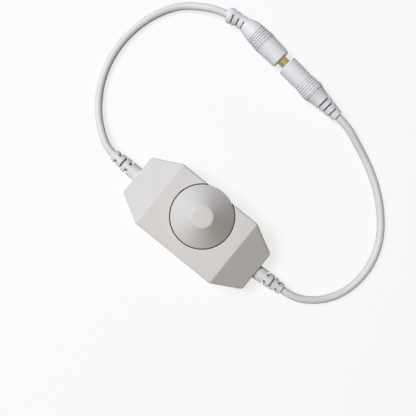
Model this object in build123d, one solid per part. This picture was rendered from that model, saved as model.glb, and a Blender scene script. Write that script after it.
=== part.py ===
from build123d import *
import os
from math import cos, degrees, pi, radians, sin, sqrt, tan

# Inline rotary LED dimmer with its two leads. Millimetres, +Z up.
# The origin is the centre of the housing's underside, +X runs along the housing to the output end,
# and +Y points to the long side that the knob overhangs.

# Housing
LENGTH = 80.6
WIDTH = 39.0
HEIGHT = 20.0
FLAT_LENGTH = 48.4
END_WIDTH = 23.7
END_HEIGHT = 10.0
WALL = 2.0
PARTING = 5.0
END_CORNER_R = 2.0
EDGE_R = 1.0
BASE_EDGE_R = 0.8
LIP_THICKNESS = 0.9
LIP_HEIGHT = 1.2
LIP_GAP = 0.1

# Recess that the knob turns in
KNOB_Y = 4.7
RECESS_R = 16.85
RECESS_DEPTH = 3.4
RECESS_BEVEL = 0.15

# Case screws
SCREW_X = 29.0
SCREW_Y = 10.0
SCREW_R = 1.25
SCREW_HEAD_R = 2.3
SCREW_HEAD_HEIGHT = 1.6
SCREW_HEAD_DEPTH = 2.2
SCREW_LENGTH = 10.4
SCREW_SOCKET_R = 0.75
SCREW_TUBE_R = 3.6
BOSS_R = 2.8
SCREW_CLEARANCE = 0.25
THREAD_GAP = 0.02

# Knob
KNOB_RIM_R = 16.4
KNOB_RIM_GAP = 0.8
KNOB_RIM_HEIGHT = 2.6
KNOB_DISC_R = 5.5
KNOB_HEIGHT = 13.9
KNOB_WALL = 1.8
KNOB_HUB_R = 4.5
KNOB_RIB = 1.2
KNOB_RIB_COUNT = 6
KNOB_DISC_EDGE_R = 1.8
KNOB_RIM_EDGE_R = 0.3

# Potentiometer
POT_R = 8.25
POT_PLATE = 1.0
POT_CAN_DEPTH = 3.5
POT_CAN_WALL = 0.5
BUSHING_R = 3.5
BUSHING_LENGTH = 5.6
SHAFT_R = 3.0
SHAFT_LENGTH = 17.4
SHAFT_FLAT = 1.5
SHAFT_GAP = 0.04
PIVOT_R = 1.4
WAFER_THICKNESS = 1.0
ROTOR_R = 5.8
ROTOR_THICKNESS = 1.8
ROTOR_LIFT = 0.5
FINGER_GAP = 0.15
SWITCH_R = 7.5
SWITCH_GAP = 1.1
TERMINAL_WIDTH = 0.9
TERMINAL_THICKNESS = 0.4
TERMINAL_PITCH = 5.0
TERMINAL_REACH = 1.6
TONGUE_WIDTH = 12.4
TONGUE_MARGIN = 0.9
NUT_ACROSS_FLATS = 10.0
NUT_THICKNESS = 2.0
WASHER_R = 5.8
WASHER_THICKNESS = 0.5
LUG_WIDTH = 2.4
LUG_THICKNESS = 1.0
LUG_HEIGHT = 1.6
LUG_MARGIN = 0.4
FIT = 0.02

# Circuit board and what it carries
BOARD_LENGTH = 50.0
BOARD_WIDTH = 27.0
BOARD_THICKNESS = 1.6
BOARD_CLEARANCE = 2.0
BOARD_CORNER_R = 1.5
PEG_X = 22.0
PEG_Y = 11.0
PEG_R = 1.2
PEG_PROUD = 0.8
POST_R = 2.5
PEG_GAP = 0.1
PIN_HOLE_R = 0.6
PIN_PROUD = 0.8
CAPACITOR_R = 4.0
CAPACITOR_LENGTH = 11.5
CAPACITOR_X = -16.5
CAPACITOR_Y = -7.5
CAPACITOR_PITCH = 3.5
CAPACITOR_LEAD_REACH = 2.0
COMPONENT_WIRE_R = 0.3
TRANSISTOR_X = 15.0
TRANSISTOR_Y = -7.5
TRANSISTOR_SIZE = (6.1, 6.6, 1.8)
TAB_THICKNESS = 0.5
TAB_REACH = 1.2
TAB_INSET = 1.0
TRANSISTOR_LEG_LENGTH = 3.4
TRANSISTOR_LEG_WIDTH = 0.8
TRANSISTOR_LEG_INSET = 0.6
CHIP_X = 15.5
CHIP_Y = 4.5
CHIP_SIZE = (4.9, 3.9, 1.4)
CHIP_STANDOFF = 0.15
CHIP_LEG_PITCH = 1.27
CHIP_LEG_WIDTH = 0.42
CHIP_LEG_REACH = 1.05
CHIP_LEG_THICKNESS = 0.2
CHIP_PART_SIZE = (2.0, 1.25)
RESISTOR_HEIGHT = 0.55
CERAMIC_HEIGHT = 0.95
RESISTOR_PLACES = [(12.0, 9.5), (15.5, 9.5), (19.0, -1.0), (15.5, -1.0), (-12.0, 7.5), (-15.5, 7.5)]
CERAMIC_PLACES = [(-14.0, 1.5), (-18.0, 1.5), (22.0, 4.5)]
DIODE_X = -14.5
DIODE_Y = 10.6
DIODE_SIZE = (4.4, 2.6, 2.1)
WIRE_R = 0.75
WIRE_SPREAD = 0.86
WIRE_PAD_X = 23.0
WIRE_PAD_Y = 3.0
WIRE_RISE = 2.6
WIRE_BEND_R = 1.2
WIRE_START = 3.0
WIRE_LEVEL = 4.0
JACKET_REACH = 4.8

# Leads and their glands
LEAD_R = 2.05
LEAD_GAP = 0.02
FLOOR_GAP = 0.02
GLAND_LENGTH = 16.8
GLAND_ROOT_R = 4.0
GLAND_TIP_R = 3.0
GLAND_MIDDLE = 8.3
GLAND_MIDDLE_R = 3.85
INPUT_GLAND_YAW = 1.5
OUTPUT_GLAND_YAW = 3.6
GLAND_BEND_R = 40.0
INPUT_STRAIGHT = 5.0
OUTPUT_STRAIGHT = 4.9
GLAND_NECK_R = 3.2
GLAND_FLANGE_WIDTH = 11.0
GLAND_FLANGE_HEIGHT = 5.8
GLAND_FLANGE_THICKNESS = 2.0
GLAND_SIDE_SLOT = 1.5
GLAND_TOP_SLOT = 1.2
GLAND_SLOT_CORE_R = 2.5
GLAND_SLOT_SPINE = 1.3
GLAND_SLOTS = [(6.5, 0, GLAND_SIDE_SLOT), (10.1, 90, GLAND_TOP_SLOT), (13.8, 0, GLAND_SIDE_SLOT)]

# Connectors: two moulded bodies on one axis, partly pushed together
CONNECTOR_YAW = -6.2
JACK_FACE_X = -20.0
JACK_FACE_Y = 95.5
MATING_GAP = 4.0
RING_R = 6.2
FACE_EDGE_R = 0.5
GROOVE_COUNT = 6
GROOVE_DEPTH = 0.45
GROOVE_WIDTH = 0.6
JACK_FRONT = 11.9
JACK_GRIP = 7.7
JACK_FACE_R = 5.45
JACK_STEP_R = 5.9
JACK_GRIP_REAR_R = 5.62
JACK_TAIL = 17.8
JACK_TAIL_R = 3.7
JACK_NECK_R = 3.95
JACK_NECK = 10.6
JACK_TAIL_BEND = 21.4
JACK_TAPER = [(2.2, 5.35), (4.6, 4.7)]
JACK_SLOTS = [3.3, 6.7, 9.9]
PLUG_FRONT = 12.1
PLUG_GRIP = 8.4
PLUG_FACE_R = 5.5
PLUG_GRIP_FRONT_R = 5.35
PLUG_SHOULDER_R = 5.8
PLUG_NECK_R = 4.5
PLUG_SHOULDER = 6.6
PLUG_SHOULDER_SWELL = 0.25
PLUG_TAIL = 11.2
PLUG_TAIL_R = 3.1
PLUG_SLOTS = [0.7, 4.0, 7.7]
SLOT_WIDTH = 0.9
SLOT_CORE_R = 2.5
SLOT_SPINE = 1.3
JACK_SLOT_ROLL = -25.0
JACK_SLOT_STAGGER = 0.55
PLUG_SLOT_ROLL = -70.0
PLUG_LEAD_REACH = 20.0

# Metal and insulating pieces inside the connectors
BARREL_R = 2.75
BARREL_WALL = 0.4
BARREL_LENGTH = 9.5
BARREL_SEAT = 9.0
CONTACT_R = 1.65
CONTACT_BORE_R = 1.2
CONTACT_RECESS = 1.0
INSERT_R = 4.5
INSERT_LENGTH = 14.0
SOCKET_R = 2.95
SOCKET_DEPTH = 9.8
PIN_R = 1.0
PIN_RECESS = 1.0
SPRING_WIDTH = 1.6
SPRING_THICKNESS = 0.35
SPRING_LENGTH = 8.0
SPRING_GAP = 0.05

# Routes of the free leads, seen from above and chosen by hand; the ends are worked out below
FLOOR_Z = LEAD_R + FLOOR_GAP
INPUT_BENDS = [
    (-66.9, 2.8, 4.8), (-71.6, 6.4, 4.0), (-75.9, 10.2, 3.0), (-80.9, 15.6, 2.4),
    (-86.6, 24.2, FLOOR_Z), (-91.1, 35.9, FLOOR_Z), (-92.8, 49.5, FLOOR_Z), (-91.2, 63.2, FLOOR_Z),
    (-86.5, 76.0, FLOOR_Z), (-79.5, 85.7, 2.4), (-70.6, 91.1, 4.5),
]
OUTPUT_BENDS = [
    (67.6, 3.0, 4.7), (74.0, 6.8, 3.7), (80.4, 13.2, 2.4), (84.8, 21.4, FLOOR_Z),
    (87.0, 32.1, FLOOR_Z), (86.2, 43.7, FLOOR_Z), (81.5, 55.9, FLOOR_Z), (72.9, 66.7, FLOOR_Z),
    (62.1, 75.9, FLOOR_Z), (49.8, 82.8, 2.4), (38.4, 87.0, 4.5),
]
JACK_APPROACH = 6.6
PLUG_APPROACH = 8.0

# Values that follow from the sizes above
HALF_LENGTH = LENGTH / 2
INNER_END = HALF_LENGTH - WALL
LEAD_Z = PARTING
JACKET_STRIP_X = HALF_LENGTH - JACKET_REACH
RECESS_Z = HEIGHT - RECESS_DEPTH
CUP_UNDERSIDE = RECESS_Z - WALL
BOARD_Z = WALL + BOARD_CLEARANCE
BOARD_TOP = BOARD_Z + BOARD_THICKNESS
PLATE_Z = CUP_UNDERSIDE - POT_PLATE
CAN_Z = PLATE_Z - POT_CAN_DEPTH
WAFER_TOP = CAN_Z + WAFER_THICKNESS
ROTOR_Z = WAFER_TOP + ROTOR_LIFT
SWITCH_Z = BOARD_TOP + SWITCH_GAP
BUSHING_TOP = CUP_UNDERSIDE + BUSHING_LENGTH
SHAFT_TOP = WAFER_TOP + FINGER_GAP + SHAFT_LENGTH
KNOB_Z = RECESS_Z + KNOB_RIM_GAP
KNOB_TOP = RECESS_Z + KNOB_HEIGHT
KNOB_INNER_TOP = KNOB_TOP - KNOB_WALL
HUB_Z = BUSHING_TOP + KNOB_RIM_GAP
CONNECTOR_Z = RING_R
BEND_R = JACK_TAIL / radians(JACK_TAIL_BEND)
EDGE = 0.3
OVER = 1.0
STANDING = (Align.CENTER, Align.CENTER, Align.MIN)


def plan_face(inset=0.0):
    """The housing's outline seen from above, drawn in by the inset."""
    x_flat, x_end = FLAT_LENGTH / 2, HALF_LENGTH
    y_side, y_end = WIDTH / 2, END_WIDTH / 2
    corners = [(x_flat, y_side), (x_end, y_end), (x_end, -y_end), (x_flat, -y_side),
               (-x_flat, -y_side), (-x_end, -y_end), (-x_end, y_end), (-x_flat, y_side)]
    face = make_face(Polyline(*corners, close=True))
    return offset(face, -inset, kind=Kind.INTERSECTION) if inset else face


def side_face(inset=0.0):
    """The housing's outline seen from the long side, drawn in by the inset."""
    x_flat, x_end = FLAT_LENGTH / 2, HALF_LENGTH
    corners = [(-x_end, 0), (x_end, 0), (x_end, END_HEIGHT), (x_flat, HEIGHT),
               (-x_flat, HEIGHT), (-x_end, END_HEIGHT)]
    face = make_face(Polyline(*corners, close=True))
    if inset:
        face = offset(face, -inset, kind=Kind.INTERSECTION)
    return Plane.XZ * face


def housing_block(inset=0.0):
    """Plan and side outlines crossed into one block."""
    tall = extrude(plan_face(inset), HEIGHT)
    long = extrude(side_face(inset), WIDTH, both=True)
    return tall & long


def outer_block():
    """The housing's outside with its moulded edge radii."""
    block = housing_block()
    end_corners = [e for e in block.edges() if is_upright(e) and abs(e.center().X) > HALF_LENGTH - EDGE]
    block = fillet(end_corners, END_CORNER_R)
    rounded = [e for e in block.edges() if e.center().Z > EDGE and not is_end_corner(e)]
    block = fillet(rounded, EDGE_R)
    return fillet([e for e in block.edges() if e.center().Z < EDGE], BASE_EDGE_R)


def is_end_corner(edge):
    """True for an upright edge left by an end corner's radius."""
    return is_upright(edge) and abs(edge.center().X) > HALF_LENGTH - END_CORNER_R - EDGE


def is_upright(edge):
    """True for an edge that runs along Z."""
    box = edge.bounding_box()
    return box.size.X < 1e-6 and box.size.Y < 1e-6


def lip_ring(outer_inset, height):
    """The band inside the parting line, from the given inset to the inner wall face."""
    band = plan_face(outer_inset) - plan_face(WALL)
    return Pos(0, 0, PARTING) * extrude(band, height)


def gland_holes(radius):
    """Round passages through both end walls at the lead's height."""
    passage = Cylinder(radius, LENGTH + 2 * OVER, rotation=(0, 90, 0))
    keep = Box(2 * (INNER_END - OVER), WIDTH, HEIGHT)
    return Pos(0, 0, LEAD_Z) * (passage - keep)


def four(places_x, places_y, z=0.0):
    """Places at the four corners of a rectangle."""
    return [Pos(sx * places_x, sy * places_y, z) for sx in (-1, 1) for sy in (-1, 1)]


def knob_axis(z):
    """A place on the knob's turning axis."""
    return Pos(0, KNOB_Y, z)


def post(radius, low, high):
    """An upright round post between two heights."""
    return Pos(0, 0, low) * Cylinder(radius, high - low, align=STANDING)


def lower_shell():
    """Base tray: floor, side walls up to the parting line, lip, board posts and screw tubes."""
    tray = outer_block() & Pos(0, 0, PARTING / 2) * Box(LENGTH, WIDTH, PARTING)
    tray -= Pos(0, 0, WALL) * extrude(plan_face(WALL), HEIGHT)
    tray += lip_ring(WALL - LIP_THICKNESS, LIP_HEIGHT)
    for place in four(SCREW_X, SCREW_Y):
        tray += place * post(SCREW_TUBE_R, 0, PARTING)
        tray -= place * post(SCREW_HEAD_R + SCREW_CLEARANCE, 0, SCREW_HEAD_DEPTH)
        tray -= place * post(SCREW_R + SCREW_CLEARANCE, 0, PARTING)
    for place in four(PEG_X, PEG_Y):
        tray += place * post(POST_R, WALL, BOARD_Z)
        tray += place * post(PEG_R, BOARD_Z, BOARD_TOP + PEG_PROUD)
    return tray - gland_holes(GLAND_NECK_R)


def recess_cutter():
    """The round recess with the bevel at its mouth."""
    bowl = post(RECESS_R, RECESS_Z, HEIGHT + OVER)
    mouth = Cone(RECESS_R, RECESS_R + 2 * RECESS_BEVEL, 2 * RECESS_BEVEL, align=STANDING)
    return knob_axis(0) * (bowl + Pos(0, 0, HEIGHT - RECESS_BEVEL) * mouth)


def lug_block(grow=0.0):
    """The locating lug on the potentiometer's plate, or its slot when grown."""
    height = POT_PLATE + LUG_HEIGHT + grow
    block = Box(LUG_THICKNESS + 2 * grow, LUG_WIDTH + 2 * grow, height,
                align=STANDING)
    return knob_axis(PLATE_Z) * Pos(LUG_THICKNESS / 2 + LUG_MARGIN - POT_R, 0, 0) * block


def upper_shell():
    """Top cover: side walls, end roofs, knob recess with its cup, and the screw bosses."""
    outside = outer_block()
    cover = outside - Pos(0, 0, PARTING / 2) * Box(LENGTH, WIDTH, PARTING)
    cover -= housing_block(WALL)
    cover -= Pos(0, 0, WALL) * extrude(plan_face(WALL), END_HEIGHT - 2 * WALL)
    cover -= lip_ring(WALL - LIP_THICKNESS - LIP_GAP, LIP_HEIGHT + LIP_GAP)
    cup = knob_axis(0) * post(RECESS_R + WALL, CUP_UNDERSIDE, HEIGHT)
    bosses = [place * post(BOSS_R, PARTING, HEIGHT) for place in four(SCREW_X, SCREW_Y)]
    cover += (cup & outside)
    for boss in bosses:
        cover += (boss & outside)
    cover -= recess_cutter()
    cover -= knob_axis(0) * post(BUSHING_R + SHAFT_GAP, CUP_UNDERSIDE - OVER, HEIGHT)
    cover -= lug_block(LIP_GAP)
    for place in four(SCREW_X, SCREW_Y):
        cover -= place * post(SCREW_R + THREAD_GAP, PARTING, SCREW_HEAD_DEPTH + SCREW_LENGTH + WALL / 4)
    return cover - gland_holes(GLAND_NECK_R)


def case_screws():
    """Four pan head screws, driven from below into the bosses."""
    group = []
    for place in four(SCREW_X, SCREW_Y):
        head = post(SCREW_HEAD_R, SCREW_HEAD_DEPTH - SCREW_HEAD_HEIGHT, SCREW_HEAD_DEPTH)
        head = fillet(head.edges().group_by(Axis.Z)[0], SCREW_HEAD_HEIGHT / 3)
        screw = head + post(SCREW_R, SCREW_HEAD_DEPTH, SCREW_HEAD_DEPTH + SCREW_LENGTH)
        screw -= cross_socket()
        group.append(place * screw)
    return group


def cross_socket():
    """Cross recess in a screw head, open downwards."""
    depth = SCREW_HEAD_HEIGHT * 0.6
    arm = Box(2 * SCREW_SOCKET_R * 1.6, SCREW_SOCKET_R * 0.6, 2 * depth)
    return Pos(0, 0, SCREW_HEAD_DEPTH - SCREW_HEAD_HEIGHT) * (arm + Rot(0, 0, 90) * arm)


def knob_form(inset=0.0):
    """Rim, cone and disc as one solid; a form drawn in by an inset reaches out below the knob."""
    side = [(KNOB_RIM_R, KNOB_Z - 2 * inset), (KNOB_RIM_R, KNOB_Z + KNOB_RIM_HEIGHT), (KNOB_DISC_R, KNOB_TOP)]
    section = make_face(Polyline(*side, *[(-x, z) for x, z in reversed(side)], close=True))
    if inset:
        section = offset(section, -inset, kind=Kind.INTERSECTION)
    half = Rectangle(KNOB_RIM_R, 2 * KNOB_TOP, align=(Align.MIN, Align.CENTER))
    return revolve(Plane.XZ * (section & half), Axis.Z)


def knob_blank():
    """Solid of the knob's outer form with its rounded rim and disc edges."""
    body = knob_form()
    rings = body.edges().filter_by(GeomType.CIRCLE).group_by(Axis.Z)
    body = fillet(rings[-1], KNOB_DISC_EDGE_R)
    rings = body.edges().filter_by(GeomType.CIRCLE).group_by(Axis.Z)
    return fillet(rings[0] + rings[1], KNOB_RIM_EDGE_R)


def knob_hollow():
    """Space under the knob, one wall inside its outer form."""
    return knob_form(KNOB_WALL)


def d_section(radius, low, high, flat):
    """Round bar with one flat, as on the shaft's end."""
    bar = post(radius, low, high)
    cut = Box(2 * radius, 2 * radius, high - low, align=(Align.CENTER, Align.MIN, Align.MIN))
    return bar - Pos(0, flat, low) * cut


def knob():
    """Volcano shaped knob with a hub and ribs inside."""
    body = knob_blank() - knob_hollow()
    body += post(KNOB_HUB_R, HUB_Z, KNOB_INNER_TOP)
    rib = Box(KNOB_RIM_R, KNOB_RIB, KNOB_INNER_TOP - HUB_Z, align=(Align.MIN, Align.CENTER, Align.MIN))
    for turn in range(KNOB_RIB_COUNT):
        body += Rot(0, 0, turn * 360 / KNOB_RIB_COUNT) * Pos(0, 0, HUB_Z) * rib & knob_blank()
    body -= d_section(SHAFT_R + SHAFT_GAP, HUB_Z, SHAFT_TOP + SHAFT_GAP, SHAFT_FLAT + SHAFT_GAP)
    return knob_axis(0) * body


def pot_bushing():
    """Front plate, threaded bushing and locating lug of the potentiometer, cast as one."""
    plate = post(POT_R, PLATE_Z, CUP_UNDERSIDE)
    bushing = post(BUSHING_R, CUP_UNDERSIDE, BUSHING_TOP)
    bushing = chamfer(bushing.edges().group_by(Axis.Z)[-1], EDGE)
    body = plate + bushing - post(SHAFT_R + SHAFT_GAP, PLATE_Z, BUSHING_TOP)
    return knob_axis(0) * body + lug_block()


def wafer_tongue(grow=0.0):
    """The wafer's tongue that carries the track's terminals, or its notch in the can when grown."""
    reach = KNOB_Y - terminal_y() + TONGUE_MARGIN
    block = Box(TONGUE_WIDTH + 2 * grow, reach, WAFER_THICKNESS + grow,
                align=(Align.CENTER, Align.MAX, Align.MIN))
    return knob_axis(CAN_Z) * block


def pot_can():
    """Pressed ring round the rotor, notched for the wafer's tongue."""
    ring = post(POT_R, CAN_Z, PLATE_Z) - post(POT_R - POT_CAN_WALL, CAN_Z, PLATE_Z)
    return knob_axis(0) * ring - wafer_tongue(PEG_GAP)


def resistive_track():
    """Round wafer with its tongue, at the bottom of the can."""
    wafer = knob_axis(0) * post(POT_R - POT_CAN_WALL - FIT, CAN_Z, WAFER_TOP) + wafer_tongue()
    return wafer - knob_axis(0) * post(PIVOT_R + SHAFT_GAP, CAN_Z, WAFER_TOP)


def pot_wiper():
    """Rotor disc on the shaft with two contact fingers above the track."""
    rotor = post(ROTOR_R, ROTOR_Z, ROTOR_Z + ROTOR_THICKNESS)
    finger_low = WAFER_TOP + FINGER_GAP
    finger = Box(EDGE * 4, EDGE * 8, ROTOR_Z - finger_low, align=STANDING)
    rotor += [Pos(side * (ROTOR_R - 1.2), 0, finger_low) * finger for side in (-1, 1)]
    return knob_axis(0) * (rotor - post(SHAFT_R + FIT, ROTOR_Z, ROTOR_Z + ROTOR_THICKNESS))


def pot_shaft():
    """Shaft with a flat for the knob and a thin pivot in the wafer."""
    foot = WAFER_TOP + FINGER_GAP
    body = post(SHAFT_R, foot, HUB_Z) + d_section(SHAFT_R, HUB_Z, SHAFT_TOP, SHAFT_FLAT)
    body += post(PIVOT_R, CAN_Z + SHAFT_GAP, foot)
    return knob_axis(0) * body


def pot_washer():
    """Flat washer on the recess floor."""
    ring = post(WASHER_R, RECESS_Z, RECESS_Z + WASHER_THICKNESS)
    return knob_axis(0) * (ring - post(BUSHING_R + SHAFT_GAP, RECESS_Z, HEIGHT))


def pot_nut():
    """Hexagon nut that clamps the bushing to the recess floor."""
    low = RECESS_Z + WASHER_THICKNESS
    hexagon = RegularPolygon(NUT_ACROSS_FLATS / 2, 6, major_radius=False)
    body = Pos(0, 0, low) * extrude(hexagon, NUT_THICKNESS)
    return knob_axis(0) * (body - post(BUSHING_R + THREAD_GAP, low, low + NUT_THICKNESS))


def switch_case():
    """Closed case of the off switch on the potentiometer's back."""
    body = post(SWITCH_R, SWITCH_Z, CAN_Z)
    return knob_axis(0) * fillet(body.edges().group_by(Axis.Z)[0], EDGE)


def terminal_y():
    """Row of terminal holes in the board, just outside the can."""
    return KNOB_Y - POT_R - TERMINAL_REACH


def track_terminal_xs():
    """The three terminals of the track."""
    return [turn * TERMINAL_PITCH for turn in (-1, 0, 1)]


def switch_terminal_xs():
    """The two terminals of the switch, between those of the track."""
    return [turn * TERMINAL_PITCH / 2 for turn in (-1, 1)]


def terminal_leg(x, top):
    """Flat leg from a height down through the board."""
    leg = Box(TERMINAL_WIDTH, TERMINAL_THICKNESS, top - BOARD_Z + PIN_PROUD,
              align=(Align.CENTER, Align.CENTER, Align.MAX))
    return Pos(x, terminal_y(), top) * leg


def switch_terminal(x):
    """Bent tag from the switch case's side down through the board."""
    nearest_x = abs(x) - TERMINAL_WIDTH / 2
    edge_y = KNOB_Y - sqrt(SWITCH_R ** 2 - nearest_x ** 2)
    reach = edge_y - terminal_y()
    arm = Box(TERMINAL_WIDTH, reach, TERMINAL_THICKNESS, align=(Align.CENTER, Align.MIN, Align.MIN))
    top = (SWITCH_Z + CAN_Z) / 2
    return Pos(x, terminal_y(), top - TERMINAL_THICKNESS) * arm + terminal_leg(x, top)


def pot_terminals():
    """Three legs under the wafer's tongue and two tags from the switch."""
    legs = [terminal_leg(x, CAN_Z) for x in track_terminal_xs()]
    return legs + [switch_terminal(x) for x in switch_terminal_xs()]


def circuit_board():
    """Board with peg holes, terminal holes and capacitor holes."""
    outline = fillet(Rectangle(BOARD_LENGTH, BOARD_WIDTH).vertices(), BOARD_CORNER_R)
    board = Pos(0, 0, BOARD_Z) * extrude(outline, BOARD_THICKNESS)
    for place in four(PEG_X, PEG_Y):
        board -= place * post(PEG_R + PEG_GAP, BOARD_Z, BOARD_TOP)
    for x in track_terminal_xs() + switch_terminal_xs():
        board -= Pos(x, terminal_y(), 0) * post(PIN_HOLE_R, BOARD_Z, BOARD_TOP)
    for x, y in capacitor_holes():
        board -= Pos(x, y, 0) * post(COMPONENT_WIRE_R + PEG_GAP, BOARD_Z, BOARD_TOP)
    return board


def capacitor_holes():
    """Where the capacitor's two wires go through the board."""
    x = CAPACITOR_X + CAPACITOR_LENGTH / 2 + CAPACITOR_LEAD_REACH
    return [(x, CAPACITOR_Y + side * CAPACITOR_PITCH / 2) for side in (-1, 1)]


def filter_capacitor():
    """Can of the electrolytic capacitor, lying along the board, with its rolled groove."""
    low = CAPACITOR_X - CAPACITOR_LENGTH / 2
    body = Cylinder(CAPACITOR_R, CAPACITOR_LENGTH, rotation=(0, 90, 0))
    body = fillet(body.edges(), EDGE * 2)
    groove = Rot(0, 90, 0) * Torus(CAPACITOR_R + EDGE, EDGE * 2)
    body -= Pos(CAPACITOR_LENGTH / 2 - 2.0, 0, 0) * groove
    return Pos(low + CAPACITOR_LENGTH / 2, CAPACITOR_Y, BOARD_TOP + CAPACITOR_R) * body


def capacitor_leads():
    """Two bent wires from the capacitor through the board."""
    wires = []
    face_x = CAPACITOR_X + CAPACITOR_LENGTH / 2
    for x, y in capacitor_holes():
        axis_z = BOARD_TOP + CAPACITOR_R
        points = [(face_x, y, axis_z), (x, y, axis_z), (x, y, BOARD_Z - PIN_PROUD)]
        wires.append(tube(points, [1.0], COMPONENT_WIRE_R))
    return wires


def transistor():
    """Moulded body of the power transistor on its tab."""
    body = Box(*TRANSISTOR_SIZE, align=STANDING)
    body = chamfer(body.edges().group_by(Axis.Z)[-1], EDGE)
    return Pos(TRANSISTOR_X, TRANSISTOR_Y, BOARD_TOP + TAB_THICKNESS) * body


def transistor_leads():
    """Tab under the transistor and its two legs."""
    long, wide, _ = TRANSISTOR_SIZE
    tab = Box(long + TAB_REACH, wide * 0.8, TAB_THICKNESS, align=(Align.MIN, Align.CENTER, Align.MIN))
    back = TRANSISTOR_X - long / 2
    tab = Pos(back + TAB_INSET, TRANSISTOR_Y, BOARD_TOP) * tab
    leg = Box(TRANSISTOR_LEG_LENGTH, TRANSISTOR_LEG_WIDTH, TAB_THICKNESS,
              align=(Align.MAX, Align.CENTER, Align.MIN))
    legs = [Pos(back + TRANSISTOR_LEG_INSET, TRANSISTOR_Y + side * wide * 0.35, BOARD_TOP) * leg
            for side in (-1, 1)]
    return [tab] + legs


def timer_chip():
    """Small outline chip body."""
    body = Box(*CHIP_SIZE, align=STANDING)
    body = chamfer(body.edges().group_by(Axis.Z)[-1], EDGE)
    return Pos(CHIP_X, CHIP_Y, BOARD_TOP + CHIP_STANDOFF) * body


def timer_chip_legs():
    """Eight bent legs, four on each long side."""
    mid = CHIP_STANDOFF + CHIP_SIZE[2] / 2 - CHIP_LEG_THICKNESS / 2
    bend = CHIP_LEG_REACH * 0.45
    t = CHIP_LEG_THICKNESS
    outline = [(0, mid), (bend, mid), (bend, t), (CHIP_LEG_REACH, t), (CHIP_LEG_REACH, 0),
               (bend - t, 0), (bend - t, mid - t), (0, mid - t)]
    leg = extrude(Plane.YZ * make_face(Polyline(*outline, close=True)), CHIP_LEG_WIDTH / 2, both=True)
    legs = []
    for step in range(4):
        x = CHIP_X + (step - 1.5) * CHIP_LEG_PITCH
        legs.append(Pos(x, CHIP_Y + CHIP_SIZE[1] / 2, BOARD_TOP) * leg)
        legs.append(Pos(x, CHIP_Y - CHIP_SIZE[1] / 2, BOARD_TOP) * Rot(0, 0, 180) * leg)
    return legs


def chip_parts(places, height):
    """Small flat chip parts on the board."""
    block = Box(*CHIP_PART_SIZE, height, align=STANDING)
    return [Pos(x, y, BOARD_TOP) * block for x, y in places]


def diode():
    """Flat diode body on the board."""
    body = Box(*DIODE_SIZE, align=STANDING)
    body = chamfer(body.edges().group_by(Axis.Z)[-1], EDGE)
    return Pos(DIODE_X, DIODE_Y, BOARD_TOP) * body


def tube(points, radii, radius):
    """Round bar along straight runs joined by tangent arcs."""
    path = FilletPolyline(*points, radius=radii) if radii else Line(*points)
    start = Plane(origin=path @ 0, z_dir=path % 0)
    return sweep(start * Circle(radius), path=path)


def inner_wire(end, side):
    """Insulated wire from the end of a lead's jacket to its pad on the board."""
    y = side * WIRE_SPREAD
    pad_y = side * WIRE_PAD_Y
    top = BOARD_TOP + WIRE_RISE
    points = [
        (end * JACKET_STRIP_X, y, LEAD_Z),
        (end * (JACKET_STRIP_X - WIRE_START), y, LEAD_Z),
        (end * (WIRE_PAD_X + WIRE_LEVEL), pad_y, top),
        (end * WIRE_PAD_X, pad_y, top),
        (end * WIRE_PAD_X, pad_y, BOARD_TOP),
    ]
    return tube(points, [WIRE_BEND_R] * 3, WIRE_R)


def gland(yaw):
    """Segmented strain relief in its own frame: outer wall face at X = 0, sleeve bent off +X by the yaw."""
    flange = Pos(-WALL, 0, 0) * Box(GLAND_FLANGE_THICKNESS, GLAND_FLANGE_WIDTH, GLAND_FLANGE_HEIGHT,
                                    align=(Align.MAX, Align.CENTER, Align.CENTER))
    neck = along_x(Cylinder(GLAND_NECK_R, WALL, align=(Align.CENTER, Align.CENTER, Align.MAX)))
    sleeve = turned([(-OVER, GLAND_ROOT_R), (GLAND_MIDDLE, GLAND_MIDDLE_R), (GLAND_LENGTH, GLAND_TIP_R)])
    sleeve = fillet(sleeve.edges().group_by(Axis.X)[-1], EDGE)
    for distance, roll, width in GLAND_SLOTS:
        slots = slot_pair(width, GLAND_ROOT_R, GLAND_SLOT_CORE_R, GLAND_SLOT_SPINE, roll)
        sleeve -= Pos(distance, 0, 0) * slots
    outside = Box(2 * GLAND_LENGTH, 4 * GLAND_ROOT_R, 4 * GLAND_ROOT_R,
                  align=(Align.MIN, Align.CENTER, Align.CENTER))
    body = flange + neck + (Rot(0, 0, yaw) * sleeve & outside)
    bore_start = -WALL - GLAND_FLANGE_THICKNESS - OVER
    return body - lead_line(LEAD_R + LEAD_GAP, bore_start, yaw, OVER)


def lead_line(radius, start, yaw, past=0.0):
    """Round bar along a lead's line in its gland's frame: through the wall, then along the bent sleeve."""
    end = Rot(0, 0, yaw) * Pos(GLAND_LENGTH + past, 0, 0)
    return tube([(start, 0, 0), (0, 0, 0), tuple(end.position)], [GLAND_BEND_R], radius)


def along_x(shape):
    """Turns a shape made along +Z to lie along +X."""
    return Rot(0, 90, 0) * shape


def slot_pair(width, reach, core_r, spine, roll, stagger=0.0):
    """Slots on opposite sides of a strain relief, which leave a round core and two spines."""
    ring = Cylinder(reach + OVER, width, rotation=(0, 90, 0))
    ring -= Cylinder(core_r, width, rotation=(0, 90, 0))
    side = Box(width, reach + OVER, 2 * (reach + OVER), align=(Align.CENTER, Align.MIN, Align.CENTER))
    half = ring & Pos(0, spine, 0) * side
    return Rot(roll, 0, 0) * (Pos(stagger, 0, 0) * half + Rot(180, 0, 0) * half)


def gland_place(end):
    """Frame of the gland at the input end (-1) or the output end (+1)."""
    return Pos(end * HALF_LENGTH, 0, LEAD_Z) * Rot(0, 0, 0 if end > 0 else 180)


def gland_yaw(end):
    """Bend of a gland's sleeve in its own frame; both glands bend towards +Y."""
    return OUTPUT_GLAND_YAW if end > 0 else -INPUT_GLAND_YAW


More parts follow.
